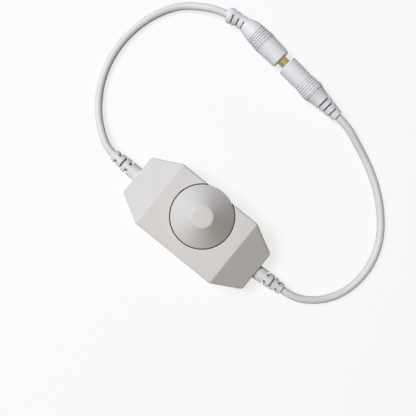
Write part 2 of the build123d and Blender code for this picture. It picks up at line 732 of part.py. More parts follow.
def past_gland(end, distance):
    """A place on a lead's line, at a distance past the gland's tip."""
    return gland_place(end) * Rot(0, 0, gland_yaw(end)) * Pos(GLAND_LENGTH + distance, 0, 0)


def connector_place(distance):
    """A place on the connectors' axis, measured from the jack's face towards the plug."""
    yaw = radians(CONNECTOR_YAW)
    x = JACK_FACE_X + distance * cos(yaw)
    y = JACK_FACE_Y + distance * sin(yaw)
    return Pos(x, y, CONNECTOR_Z) * Rot(0, 0, CONNECTOR_YAW)


def grip_points(start, length, start_r, end_r):
    """Half section of the grip's ring grooves, from one end to the other."""
    pitch = length / GROOVE_COUNT
    points = []
    for ring in range(GROOVE_COUNT):
        middle = start + (ring + 0.5) * pitch
        share = (ring + 0.5) / GROOVE_COUNT
        radius = start_r + (end_r - start_r) * share
        points += [(middle - GROOVE_WIDTH / 2, radius), (middle, radius - GROOVE_DEPTH),
                   (middle + GROOVE_WIDTH / 2, radius)]
    return [(start, start_r)] + points + [(start + length, end_r)]


def turned(points):
    """Solid of revolution about X from a half section given as (x, radius) points."""
    first, last = points[0], points[-1]
    outline = [(first[0], 0)] + points + [(last[0], 0)]
    return revolve(make_face(Polyline(*outline, close=True)), Axis.X)


def swelled(start, start_r, end, end_r, swell):
    """Solid of revolution about X whose side swells outwards between its two radii."""
    outline = [Line((start, 0), (start, start_r)), SagittaArc((start, start_r), (end, end_r), -swell),
               Line((end, end_r), (end, 0)), Line((end, 0), (start, 0))]
    return revolve(make_face(Curve() + outline), Axis.X)


def jack_tail_place(arc):
    """A place on the jack's bent strain relief, at an arc length back from its grip."""
    turn = degrees(arc / BEND_R)
    x = -BEND_R * sin(radians(turn))
    y = -BEND_R * (1 - cos(radians(turn)))
    return connector_place(-JACK_FRONT - JACK_GRIP) * Pos(x, y, 0) * Rot(0, 0, turn)


def jack_tail_loft():
    """Bent strain relief: round sections lofted along an arc."""
    neck = [(JACK_TAIL - JACK_NECK, JACK_NECK_R),
            (JACK_TAIL - JACK_NECK / 2, (JACK_NECK_R + JACK_TAIL_R) / 2), (JACK_TAIL, JACK_TAIL_R)]
    stations = [(0, JACK_GRIP_REAR_R)] + JACK_TAPER + neck
    sections = [jack_tail_place(arc) * Rot(0, 90, 0) * Circle(radius) for arc, radius in stations]
    return loft(sections)


def jack_lead_bore(radius):
    """Bent round passage for the lead through the strain relief."""
    centre = jack_tail_place(0) * Pos(0, -BEND_R, 0)
    section = Plane.YZ * Pos(BEND_R, 0) * Circle(radius)
    ring = revolve(section, Axis.Z, JACK_TAIL_BEND)
    return centre * ring


def jack_moulding():
    """Female connector: cylinder, ring grooves and bent slotted strain relief."""
    grip_rear = -JACK_FRONT - JACK_GRIP
    grip = grip_points(grip_rear, JACK_GRIP, JACK_GRIP_REAR_R, RING_R)
    front = [(-JACK_FRONT, JACK_STEP_R), (-FACE_EDGE_R, JACK_FACE_R), (0, JACK_FACE_R - FACE_EDGE_R)]
    body = connector_place(0) * turned(grip + front) + jack_tail_loft()
    for distance in JACK_SLOTS:
        slot = slot_pair(SLOT_WIDTH, JACK_NECK_R, SLOT_CORE_R, SLOT_SPINE, JACK_SLOT_ROLL, JACK_SLOT_STAGGER)
        body -= jack_tail_place(JACK_TAIL - distance) * slot
    body -= jack_lead_bore(LEAD_R + LEAD_GAP)
    body -= connector_place(0) * bar_x(INSERT_R + FIT, -INSERT_LENGTH, OVER)
    return body - connector_place(0) * bar_x(PIN_R + FIT, grip_rear - OVER, -INSERT_LENGTH)


def bar_x(radius, start, end):
    """Round bar along X between two places."""
    return Pos(start, 0, 0) * along_x(Cylinder(radius, end - start, align=STANDING))


def jack_insert():
    """Black insert with the socket, the slot for the side contact and the pin's hole."""
    body = bar_x(INSERT_R, -INSERT_LENGTH, 0) - bar_x(SOCKET_R, -SOCKET_DEPTH, OVER)
    body -= bar_x(PIN_R + FIT, -INSERT_LENGTH - OVER, 0)
    slot = Box(SPRING_LENGTH + FIT, SPRING_WIDTH + 2 * FIT, SPRING_THICKNESS + SPRING_GAP + SOCKET_R,
               align=(Align.MIN, Align.CENTER, Align.MAX))
    return connector_place(0) * (body - Pos(-SOCKET_DEPTH, 0, 0) * slot)


def jack_pin():
    """Centre pin, with its tail back to the lead."""
    rear = -JACK_FRONT - JACK_GRIP
    pin = bar_x(PIN_R, rear, -PIN_RECESS)
    return connector_place(0) * fillet(pin.edges().sort_by(Axis.X)[-1], EDGE)


def jack_sleeve_contact():
    """Flat side contact at the bottom of the socket."""
    strip = Box(SPRING_LENGTH, SPRING_WIDTH, SPRING_THICKNESS, align=(Align.MIN, Align.CENTER, Align.MIN))
    return connector_place(0) * Pos(-SOCKET_DEPTH, 0, -SOCKET_R - SPRING_GAP - SPRING_THICKNESS) * strip


def plug_place():
    """The plug's own frame: face at X = 0, tail along +X."""
    return connector_place(MATING_GAP)


def plug_length():
    """Plug moulding from its face to its tail."""
    return PLUG_FRONT + PLUG_GRIP + PLUG_SHOULDER + PLUG_TAIL


def plug_moulding():
    """Male connector: cylinder, ring grooves, tapering shoulder and slotted strain relief."""
    grip_end = PLUG_FRONT + PLUG_GRIP
    tail_start = grip_end + PLUG_SHOULDER
    front = [(0, PLUG_FACE_R - FACE_EDGE_R), (FACE_EDGE_R, PLUG_FACE_R)]
    grip = grip_points(PLUG_FRONT, PLUG_GRIP, PLUG_GRIP_FRONT_R, RING_R)
    shoulder = swelled(grip_end, PLUG_SHOULDER_R, tail_start, PLUG_NECK_R, PLUG_SHOULDER_SWELL)
    tail = turned([(tail_start, PLUG_NECK_R), (plug_length(), PLUG_TAIL_R)])
    body = turned(front + grip) + shoulder + tail
    for distance in PLUG_SLOTS:
        slot = slot_pair(SLOT_WIDTH, PLUG_NECK_R, SLOT_CORE_R, SLOT_SPINE, PLUG_SLOT_ROLL)
        body -= Pos(tail_start + distance, 0, 0) * slot
    body -= bar_x(LEAD_R + LEAD_GAP, plug_length() - PLUG_LEAD_REACH, plug_length() + OVER)
    body -= bar_x(BARREL_R + FIT, -OVER, BARREL_SEAT)
    return plug_place() * (body - bar_x(CONTACT_R + FIT, 0, plug_length() - PLUG_LEAD_REACH))


def plug_barrel():
    """Metal sleeve of the plug."""
    sleeve = bar_x(BARREL_R, -BARREL_LENGTH, BARREL_SEAT)
    sleeve = fillet(sleeve.edges().sort_by(Axis.X)[0], EDGE * 0.6)
    return plug_place() * (sleeve - bar_x(BARREL_R - BARREL_WALL, -BARREL_LENGTH - OVER, BARREL_SEAT + OVER))


def plug_insulator():
    """Insulating ring between the barrel and the inner contact."""
    ring = bar_x(BARREL_R - BARREL_WALL - FIT, -BARREL_LENGTH + EDGE, BARREL_SEAT)
    return plug_place() * (ring - bar_x(CONTACT_R + FIT, -BARREL_LENGTH - OVER, BARREL_SEAT + OVER))


def plug_inner_contact():
    """Spring tube that takes the jack's pin, with its tail back to the lead."""
    front = -BARREL_LENGTH + CONTACT_RECESS
    tube_part = bar_x(CONTACT_R, front, plug_length() - PLUG_LEAD_REACH)
    return plug_place() * (tube_part - bar_x(CONTACT_BORE_R, front - OVER, OVER))


def route_points(bends, end, approach_place, tail_place):
    """Full route: gland tip, a short straight start, the chosen bends, a straight approach and the tail."""
    straight = OUTPUT_STRAIGHT if end > 0 else INPUT_STRAIGHT
    start = [past_gland(end, 0), past_gland(end, straight)]
    return [tuple(p.position) for p in start] + bends + [tuple(approach_place.position),
                                                         tuple(tail_place.position)]


def bend_radii(points):
    """Largest even radius at each bend: 0.45 of the shorter run over the tangent of half the turn."""
    radii = []
    for before, here, after in zip(points, points[1:], points[2:]):
        run_in, run_out = Vector(*here) - Vector(*before), Vector(*after) - Vector(*here)
        turn = radians(run_in.get_angle(run_out))
        radii.append(0.45 * min(run_in.length, run_out.length) / tan(turn / 2))
    return radii


def free_lead(name, points):
    """The lead's free stretch, with its radii and volume printed."""
    radii = bend_radii(points)
    body = tube(points, radii, LEAD_R)
    path = FilletPolyline(*points, radius=radii)
    share = body.volume / (pi * LEAD_R ** 2 * path.length)
    print(name, "length", round(path.length, 1), "radii", [round(r, 1) for r in radii],
          "volume share", round(share, 4))
    return body


def jacket_in_gland(end):
    """The lead's stretch from the end of its jacket in the housing to the gland's tip."""
    return gland_place(end) * lead_line(LEAD_R, -JACKET_REACH, gland_yaw(end))


def input_lead():
    """Lead from the jack to the housing."""
    tail = jack_tail_place(JACK_TAIL)
    points = route_points(INPUT_BENDS, -1, tail * Pos(-JACK_APPROACH, 0, 0), tail)
    return jacket_in_gland(-1) + free_lead("input_lead", points) + jack_lead_bore(LEAD_R)


def output_lead():
    """Lead from the housing to the plug."""
    tail = plug_place() * Pos(plug_length(), 0, 0)
    points = route_points(OUTPUT_BENDS, 1, tail * Pos(PLUG_APPROACH, 0, 0), tail)
    inside = plug_place() * bar_x(LEAD_R, plug_length() - PLUG_LEAD_REACH, plug_length())
    return jacket_in_gland(1) + free_lead("output_lead", points) + inside


def build():
    """Every node of the dimmer by name."""
    return {
        "lower_shell": lower_shell(),
        "upper_shell": upper_shell(),
        "case_screws": case_screws(),
        "knob": knob(),
        "pot_bushing": pot_bushing(),
        "pot_can": pot_can(),
        "resistive_track": resistive_track(),
        "pot_wiper": pot_wiper(),
        "pot_shaft": pot_shaft(),
        "pot_washer": pot_washer(),
        "pot_nut": pot_nut(),
        "switch_case": switch_case(),
        "pot_terminals": pot_terminals(),
        "circuit_board": circuit_board(),
        "filter_capacitor": filter_capacitor(),
        "capacitor_leads": capacitor_leads(),
        "transistor": transistor(),
        "transistor_leads": transistor_leads(),
        "timer_chip": timer_chip(),
        "timer_chip_legs": timer_chip_legs(),
        "chip_resistors": chip_parts(RESISTOR_PLACES, RESISTOR_HEIGHT),
        "chip_capacitors": chip_parts(CERAMIC_PLACES, CERAMIC_HEIGHT),
        "diode": diode(),
        "input_wire_plus": inner_wire(-1, 1),
        "input_wire_minus": inner_wire(-1, -1),
        "output_wire_plus": inner_wire(1, 1),
        "output_wire_minus": inner_wire(1, -1),
        "input_gland": gland_place(-1) * gland(gland_yaw(-1)),
        "output_gland": gland_place(1) * gland(gland_yaw(1)),
        "input_lead": input_lead(),
        "output_lead": output_lead(),
        "jack_moulding": jack_moulding(),
        "jack_insert": jack_insert(),
        "jack_pin": jack_pin(),
        "jack_sleeve_contact": jack_sleeve_contact(),
        "plug_moulding": plug_moulding(),
        "plug_barrel": plug_barrel(),
        "plug_insulator": plug_insulator(),
        "plug_inner_contact": plug_inner_contact(),
    }


os.makedirs("parts", exist_ok=True)
for node, shape in build().items():
    if isinstance(shape, list):
        shape = Compound(children=[piece for part in shape for piece in part.solids()])
    export_step(shape, f"parts/{node}.step")
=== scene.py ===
"""Looks, leads, lamps and camera of an inline rotary LED dimmer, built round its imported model."""

from math import cos, pi, radians, sin

import bpy
from bpy.props import FloatProperty, FloatVectorProperty, IntProperty, PointerProperty
from bpy.types import Operator, Panel, PropertyGroup
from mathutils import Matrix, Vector


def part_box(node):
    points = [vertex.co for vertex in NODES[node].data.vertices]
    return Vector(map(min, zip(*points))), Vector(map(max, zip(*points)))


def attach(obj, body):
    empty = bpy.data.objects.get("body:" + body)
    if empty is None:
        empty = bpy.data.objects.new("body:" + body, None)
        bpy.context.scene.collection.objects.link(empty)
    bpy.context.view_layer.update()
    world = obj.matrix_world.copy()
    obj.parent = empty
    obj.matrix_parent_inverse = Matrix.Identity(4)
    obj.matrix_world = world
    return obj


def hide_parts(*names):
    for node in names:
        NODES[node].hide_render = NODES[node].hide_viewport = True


bl_info = {
    "name": "LED Dimmer",
    "version": (1, 0, 0),
    "blender": (4, 5, 0),
    "location": "View3D > Sidebar > LED Dimmer",
    "description": "Finishes, leads, lamps and camera for an inline rotary LED dimmer",
    "category": "Object",
}

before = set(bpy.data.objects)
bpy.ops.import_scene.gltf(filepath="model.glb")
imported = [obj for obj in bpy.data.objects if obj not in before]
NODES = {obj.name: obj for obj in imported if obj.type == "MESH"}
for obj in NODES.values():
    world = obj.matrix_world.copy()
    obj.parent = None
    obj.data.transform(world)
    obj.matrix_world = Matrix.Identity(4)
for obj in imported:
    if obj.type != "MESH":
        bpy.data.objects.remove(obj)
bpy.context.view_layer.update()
MM = 0.001


def middle(node):
    """Centre of a CAD node's box."""
    low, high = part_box(node)
    return (low + high) / 2


# Housing, knob and screws, measured on the frame
SHELL_LOW, SHELL_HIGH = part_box("upper_shell")
PARTING_Z = SHELL_LOW.z
KNOB_LOW, KNOB_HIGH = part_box("knob")
KNOB_CENTRE = (KNOB_LOW + KNOB_HIGH) / 2
KNOB_R = (KNOB_HIGH.x - KNOB_LOW.x) / 2
SHAFT_LOW, SHAFT_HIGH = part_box("pot_shaft")
SHAFT_R = (SHAFT_HIGH.x - SHAFT_LOW.x) / 2
BUSHING_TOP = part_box("pot_bushing")[1].z
SCREW_LOW, SCREW_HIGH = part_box("case_screws")

# Line between the shells, and distances from the knob's axis over which the recess's shade fades
PARTING_HALF = 0.05 * MM
PARTING_SOFT = 0.04 * MM
RECESS_FADE = (16.83 * MM, 16.93 * MM)

# Knob's inside: hub on the shaft, and ribs from the hub to the wall
SHAFT_GAP = 0.04 * MM
HUB_R = 4.5 * MM
HUB_GAP = 0.8 * MM
RIB_HALF = 0.6 * MM
RIB_ROOT = 0.3 * MM
RIB_SPAN = 10 * MM
RIM_EDGE_R = 0.3 * MM
SKIRT_EDGE_R = 0.2 * MM
KNOB_SEGMENTS = 128

# Case screws: cross recess in the head, tapered end of the thread, and how far round each is turned
SCREW_SEGMENTS = 40
THREAD_SEGMENTS = 24
HEAD_ROUNDING = 0.6
CROSS_REACH = 1.2 * MM
CROSS_HALF = 0.26 * MM
CROSS_DEPTH = 0.95 * MM
THREAD_DEPTH = 0.22 * MM
THREAD_START = 0.95
TAPER_START = 0.62
END_GAP = 0.05 * MM
FIRST_TURN = 0.3
NEXT_TURN = 0.7

# Circuit board's tracks: waves over the lanes shift the runs, and leave out those below the level
TRACK_PITCH = 1.1 * MM
TRACK_RUN = 4.6 * MM
TRACK_HALF = 0.26
TRACK_SHIFT_WAVE = 5.3
TRACK_LANE_WAVE = 7.1
TRACK_RUN_WAVE = 3.7
TRACK_LEVEL = -0.35
TRACK_SHOW = 0.22
TRACK_DEPTH = 0.03 * MM

# Plastics: size of the clouds and of the glossy patches, how far tone and gloss range over them,
# and how much duller the dark seam line and the painted shade are
PLASTIC_CLOUD = 11 * MM
PLASTIC_TONES = (0.965, 1.02)
PLASTIC_PATCH = 3.5 * MM
PLASTIC_GLOSS = 0.12
SEAM_AND_SHADE_DULL = 0.2

# Metals: size and darkest tone of the clouds, size, gloss and depth of the scratches, and the grain
# of pieces that were turned about Z or drawn along it
METAL_CLOUD = 2 * MM
METAL_DARK = 0.86
SCRATCH_SIZE = 0.3 * MM
SCRATCH_GLOSS = 0.14
SCRATCH_DEPTH = 0.002 * MM
EVEN = (1, 1, 1)
TURNED = (0.08, 0.08, 1)
DRAWN = (1, 1, 0.08)

# Meshes: edges sharper than this stay sharp, and points nearer than this are welded
CREASE = radians(35)
WELD = 1e-6

# Glands: both are bent a little towards +Y where they leave the end walls, and slots run in from
# their surface to a core
GLAND_SLOT_SPAN = (1.5 * MM, 15.6 * MM)
GLAND_SLOT_DEPTH = (2.75 * MM, 3.15 * MM)
INPUT_GLAND_TURN = pi - radians(1.5)
OUTPUT_GLAND_TURN = radians(3.6)
INPUT_WALL = Vector((SHELL_LOW.x, 0, PARTING_Z))
OUTPUT_WALL = Vector((SHELL_HIGH.x, 0, PARTING_Z))

# Connectors, measured from the jack's face along an axis that passes through the barrel's middle
CONNECTOR_YAW = radians(-6.2)
CONNECTOR_AXIS = Vector((cos(CONNECTOR_YAW), sin(CONNECTOR_YAW), 0))
BARREL_MIDDLE_FROM_FACE = 3.75 * MM
JACK_FACE = middle("plug_barrel") - CONNECTOR_AXIS * BARREL_MIDDLE_FROM_FACE
JACK_GRIP = (-19.6 * MM, -11.9 * MM)
JACK_GRIP_RADII = (5.62 * MM, 6.2 * MM)
JACK_BEND_R = 47.66 * MM
PLUG_GRIP = (16.1 * MM, 24.5 * MM)
PLUG_GRIP_RADII = (5.35 * MM, 6.2 * MM)
JACK_SLOT_SPAN = (-17.2 * MM, -7.6 * MM)
JACK_SLOT_DEPTH = (2.7 * MM, 3.2 * MM)
PLUG_SLOT_SPAN = (31.1 * MM, 41.1 * MM)
PLUG_SLOT_DEPTH = (2.7 * MM, 3.1 * MM)

# Grooves round the connectors' grips, how much shade is painted into them, and the rounded rings between them
GROOVES = 6
GROOVE_WIDTH = 0.6 * MM
GROOVE_DEPTH = 0.45 * MM
GROOVE_FADE = (-0.8 * GROOVE_DEPTH, -0.2 * GROOVE_DEPTH)
GROOVE_PAINTED_SHADE = 0.58
RING_LAND = 0.42
RING_ROUNDING = 0.8
RING_SEGMENTS = 72

# Routes of the leads: the points given in the part's source, in metres, of which the three after
# the input gland's end are moved by under a millimetre to follow the photograph
LEAD_DIAMETER = 4.1 * MM
INPUT_ROUTE = [
    (-0.057094, 0.00044, 0.005), (-0.06195, 0.0011, 0.005), (-0.06665, 0.0035, 0.0048),
    (-0.0715, 0.0067, 0.004), (-0.0759, 0.0102, 0.003), (-0.0809, 0.0156, 0.0024),
    (-0.0866, 0.0242, 0.00207), (-0.0911, 0.0359, 0.00207), (-0.0928, 0.0495, 0.00207),
    (-0.0912, 0.0632, 0.00207), (-0.0865, 0.076, 0.00207), (-0.0795, 0.0857, 0.0024),
    (-0.0706, 0.0911, 0.0045), (-0.063497, 0.094498, 0.0062), (-0.057128, 0.096228, 0.0062),
]
OUTPUT_ROUTE = [
    (0.057067, 0.001055, 0.005), (0.061957, 0.001363, 0.005), (0.0676, 0.003, 0.0047),
    (0.074, 0.0068, 0.0037), (0.0804, 0.0132, 0.0024), (0.0848, 0.0214, 0.00207),
    (0.087, 0.0321, 0.00207), (0.0862, 0.0437, 0.00207), (0.0815, 0.0559, 0.00207),
    (0.0729, 0.0667, 0.00207), (0.0621, 0.0759, 0.00207), (0.0498, 0.0828, 0.0024),
    (0.0384, 0.087, 0.0045), (0.030006, 0.090068, 0.0062), (0.022053, 0.090932, 0.0062),
]
INPUT_LENGTH = 0.130
OUTPUT_LENGTH = 0.143

# Camera straight above the loop, turned as the photograph is
CAMERA_PLACE = (-0.0005, 0.00993, 0.350)
CAMERA_TURN = radians(39.1)
CAMERA_LENS = 56.1

# Floor and lamps
FLOOR_SPAN = 3.0
FLOOR_GAP = 0.02 * MM
FLOOR_GLOW = 0.78
KEY_SIZE = 0.7
KEY_PLACE = Vector((-0.828, -0.193, 1.343))
KEY_COLOUR = (0.98, 1.0, 1.06)
FILL_SIZE = 0.5
FILL_PLACE = Vector((0.859, -0.328, 0.771))
FILL_COLOUR = (1.0, 0.78, 0.35)
AMBIENT_COLOUR = (1, 0.98, 0.95, 1)
WHITE = (1, 1, 1, 1)


def add_object(name, data):
    """A new object of the data, in the scene."""
    made = bpy.data.objects.new(name, data)
    bpy.context.scene.collection.objects.link(made)
    return made


def srgb(red, green, blue):
    """Linear colour of an sRGB triple from 0 to 255."""
    def linear(value):
        share = value / 255
        return share / 12.92 if share <= 0.04045 else ((share + 0.055) / 1.055) ** 2.4
    return tuple(linear(value) for value in (red, green, blue))


class Wire:
    """An output socket that can be used in Python expressions."""

    def __init__(self, net, socket):
        self.net, self.socket = net, socket

    def other(self, name):
        """Another output of the same node."""
        return Wire(self.net, self.socket.node.outputs[name])

    def _maths(self, operation, first, second=0.0):
        return self.net.node("ShaderNodeMath", {"operation": operation}, {0: first, 1: second})

    def __add__(self, value):
        return self._maths("ADD", self, value)

    def __sub__(self, value):
        return self._maths("SUBTRACT", self, value)

    def __rsub__(self, value):
        return self._maths("SUBTRACT", value, self)

    def __mul__(self, value):
        return self._maths("MULTIPLY", self, value)

    def __truediv__(self, value):
        return self._maths("DIVIDE", self, value)

    def __rtruediv__(self, value):
        return self._maths("DIVIDE", value, self)

    def __mod__(self, value):
        return self._maths("FLOORED_MODULO", self, value)

    def __rmod__(self, value):
        return self._maths("FLOORED_MODULO", value, self)

    def __abs__(self):
        return self._maths("ABSOLUTE", self)

    def __lt__(self, value):
        return self._maths("LESS_THAN", self, value)

    def __gt__(self, value):
        return self._maths("GREATER_THAN", self, value)

    __radd__, __rmul__ = __add__, __mul__


class Net:
    """Adds nodes to one node tree."""

    def __init__(self, tree):
        self.tree = tree

    def node(self, kind, settings=None, inputs=None, output=0):
        """Adds a node: its settings first, then the values or wires of its sockets."""
        made = self.tree.nodes.new(kind)
        for name, value in (settings or {}).items():
            if name == "choices":
                for _ in range(value - len(made.index_switch_items)):
                    made.index_switch_items.new()
            else:
                setattr(made, name, value)
        for name, value in (inputs or {}).items():
            self._feed(made.inputs[name], value)
        return Wire(self, made.outputs[output]) if made.outputs else made

    def _feed(self, socket, value):
        for single in value if isinstance(value, list) else [value]:
            if isinstance(single, Wire):
                self.tree.links.new(single.socket, socket)
            else:
                socket.default_value = single

    def maths(self, operation, value):
        """A one sided Math operation, such as SQRT or FLOOR."""
        return self.node("ShaderNodeMath", {"operation": operation}, {0: value})

    def axes(self, vector):
        """X, Y and Z of a vector."""
        split = self.node("ShaderNodeSeparateXYZ", None, {0: vector}, output="X")
        return split, split.other("Y"), split.other("Z")

    def point(self, x, y, z):
        """A vector of three values or wires."""
        return self.node("ShaderNodeCombineXYZ", None, {0: x, 1: y, 2: z})

    def smooth_step(self, value, low, high):
        """0 below the low bound, 1 above the high one, and smooth between."""
        settings = {"interpolation_type": "SMOOTHSTEP"}
        return self.node("ShaderNodeMapRange", settings, {"Value": value, "From Min": low, "From Max": high})

    def mix_colour(self, share, first, second):
        """Blend of two colours."""
        return self.node("ShaderNodeMix", {"data_type": "RGBA"},
                         {"Factor": share, 6: first, 7: second}, output=2)


class Finish(Net):
    """A material's tree with object coordinates and one Principled shader."""

    def __init__(self, name):
        self.material = bpy.data.materials.new(name)
        self.material.use_nodes = True
        super().__init__(self.material.node_tree)
        self.tree.nodes.clear()
        self.place = self.node("ShaderNodeTexCoord", output="Object")

    def noise(self, size, detail=2.0, place=None):
        """Noise from 0 to 1 whose features are about the given size in metres."""
        return self.node("ShaderNodeTexNoise", None,
                         {"Vector": place or self.place, "Scale": 1 / size, "Detail": detail})

    def bump(self, height, depth, over=None):
        """Normal of a relief of the given depth in metres, on top of another normal if one is given."""
        inputs = {"Height": height, "Distance": depth}
        if over is not None:
            inputs["Normal"] = over
        return self.node("ShaderNodeBump", None, inputs)

    def in_frame(self, origin, turn):
        """Object coordinates in a frame that is moved to a point and turned about Z."""
        return self.node("ShaderNodeMapping", {"vector_type": "TEXTURE"},
                         {"Vector": self.place, "Location": tuple(origin), "Rotation": (0, 0, turn)})

    def slope(self):
        """0 on an upright face, 1 on a level one."""
        return abs(self.axes(self.node("ShaderNodeNewGeometry", output="True Normal"))[2])

    def radius(self, first, second):
        """Distance from an axis, from the two coordinates across it."""
        return self.maths("SQRT", first * first + second * second)

    def close(self, **sockets):
        """Ends the tree with the Principled shader, its sockets named with underscores for spaces."""
        inputs = {name.replace("_", " "): value for name, value in sockets.items()}
        shader = self.node("ShaderNodeBsdfPrincipled", None, inputs)
        self.node("ShaderNodeOutputMaterial", None, {"Surface": shader})
        return self.material


def opaque(colour):
    """Colour with full alpha."""
    return (*colour[:3], 1.0)


def shaded(colour, share):
    """A colour times a share, with full alpha."""
    return opaque([part * share for part in colour[:3]])


def moulded(name, colour, roughness, grain=0.3 * MM, depth=0.006 * MM, dark=None,
            seam_and_shade_share=(0.5, 0.5, 0.5), sink=0.0, edge=0.0):
    """Moulded plastic: cloudy tone, uneven gloss and fine grain, darker and duller where a mask says so; the
    masks paint shade into hollows and mark a dark seam.
    """
    finish = Finish(name)
    cloud = finish.noise(PLASTIC_CLOUD, 3.0)
    tone = finish.mix_colour(cloud, *[shaded(colour, share) for share in PLASTIC_TONES])
    gloss = finish.noise(PLASTIC_PATCH) * PLASTIC_GLOSS + (roughness - PLASTIC_GLOSS / 2)
    relief = finish.noise(grain, 3.0)
    rounded = finish.node("ShaderNodeBevel", {"samples": 6}, {"Radius": edge}) if edge else None
    normal = finish.bump(relief, depth, over=rounded)
    # Painted shade: the mask darkens slots, grooves and recesses where shade falls, and marks the shells'
    # dark seam line
    if dark is not None:
        mask = dark(finish)
        tone = finish.mix_colour(mask, tone, opaque([part * share for part, share in zip(colour, seam_and_shade_share)]))
        gloss = gloss + mask * SEAM_AND_SHADE_DULL
        if sink:
            normal = finish.bump(1 - mask, sink, over=normal)
    return finish.close(Base_Color=tone, Roughness=gloss, Normal=normal, Specular_IOR_Level=0.3)


def band(net, value, middle, half, soft):
    """1 within half a width of a value's middle, falling softly to 0 outside."""
    return 1 - net.smooth_step(abs(value - middle), half, half + soft)


def most(net, *masks):
    """The largest of several masks."""
    best = masks[0]
    for mask in masks[1:]:
        best = net.node("ShaderNodeMath", {"operation": "MAXIMUM"}, {0: best, 1: mask})
    return best


def gland_slots(wall, turn):
    """Mask of painted shade in the slots of a gland, by their distance from its axis."""
    def mask(finish):
        x, y, z = finish.axes(finish.in_frame(wall, turn))
        deep = 1 - finish.smooth_step(finish.radius(y, z), *GLAND_SLOT_DEPTH)
        return deep * (x > GLAND_SLOT_SPAN[0]) * (x < GLAND_SLOT_SPAN[1])
    return mask


def grip_grooves(finish, x, radius, span, radii):
    """Mask of painted shade in the grooves round a connector's grip, whose radius runs evenly from one end to
    the other.
    """
    start, end = span
    share = (x - start) / (end - start)
    surface = share * (radii[1] - radii[0]) + radii[0]
    deep = 1 - finish.smooth_step(radius - surface, *GROOVE_FADE)
    return deep * GROOVE_PAINTED_SHADE * (x > start) * (x < end)


def jack_slots(finish):
    """Mask of painted shade in the jack's grip grooves and in the slots of its bent strain relief."""
    x, y, z = finish.axes(finish.in_frame(JACK_FACE, CONNECTOR_YAW))
    grip = grip_grooves(finish, x, finish.radius(y, z), JACK_GRIP, JACK_GRIP_RADII)
    u, v = x - JACK_GRIP[0], y + JACK_BEND_R
    tail = 1 - finish.smooth_step(finish.radius(finish.radius(u, v) - JACK_BEND_R, z), *JACK_SLOT_DEPTH)
    return most(finish, grip, tail * (u > JACK_SLOT_SPAN[0]) * (u < JACK_SLOT_SPAN[1]))


def plug_slots(finish):
    """Mask of painted shade in the plug's grip grooves and in the slots of its strain relief."""
    x, y, z = finish.axes(finish.in_frame(JACK_FACE, CONNECTOR_YAW))
    radius = finish.radius(y, z)
    grip = grip_grooves(finish, x, radius, PLUG_GRIP, PLUG_GRIP_RADII)
    tail = 1 - finish.smooth_step(radius, *PLUG_SLOT_DEPTH)
    return most(finish, grip, tail * (x > PLUG_SLOT_SPAN[0]) * (x < PLUG_SLOT_SPAN[1]))


def shell_lines(finish):
    """Mask of the dark line between the two shells and of painted shade in the recess round the knob."""
    x, y, z = finish.axes(finish.place)
    parting = band(finish, z, PARTING_Z, PARTING_HALF, PARTING_SOFT) * (finish.slope() < 0.5)
    reach = finish.radius(x - KNOB_CENTRE.x, y - KNOB_CENTRE.y)
    inside = 1 - finish.smooth_step(reach, *RECESS_FADE)
    return most(finish, parting, inside * (z > KNOB_LOW.z - MM))


def laminate(name, lacquer, copper):
    """Circuit board: green lacquer, paler and raised where copper tracks run under it."""
    finish = Finish(name)
    x, y, z = finish.axes(finish.place)
    lane = finish.maths("FLOOR", y / TRACK_PITCH)
    cell = finish.maths("FLOOR", x / TRACK_RUN + finish.maths("SINE", lane * TRACK_SHIFT_WAVE))
    kept = finish.maths("SINE", lane * TRACK_LANE_WAVE + cell * TRACK_RUN_WAVE) > TRACK_LEVEL
    track = (abs((y / TRACK_PITCH) % 1 - 0.5) < TRACK_HALF) * kept * (finish.slope() > 0.5)
    tone = finish.mix_colour(track * TRACK_SHOW, opaque(lacquer), opaque(copper))
    gloss = finish.noise(2 * MM) * 0.1 + 0.26
    return finish.close(Base_Color=tone, Roughness=gloss, Normal=finish.bump(track, TRACK_DEPTH))


def metal(name, colour, roughness, grain=EVEN):
    """Metal with uneven gloss and fine scratches, which run along an axis where its grain is below 1."""
    finish = Finish(name)
    cloud = finish.noise(METAL_CLOUD, 3.0)
    tone = finish.mix_colour(cloud, shaded(colour, METAL_DARK), opaque(colour))
    stretch = finish.node("ShaderNodeMapping", None, {"Vector": finish.place, "Scale": grain})
    fine = finish.noise(SCRATCH_SIZE, 3.0, stretch)
    gloss = fine * SCRATCH_GLOSS + (roughness - SCRATCH_GLOSS / 2)
    return finish.close(Base_Color=tone, Metallic=1.0, Roughness=gloss,
                        Normal=finish.bump(fine, SCRATCH_DEPTH))


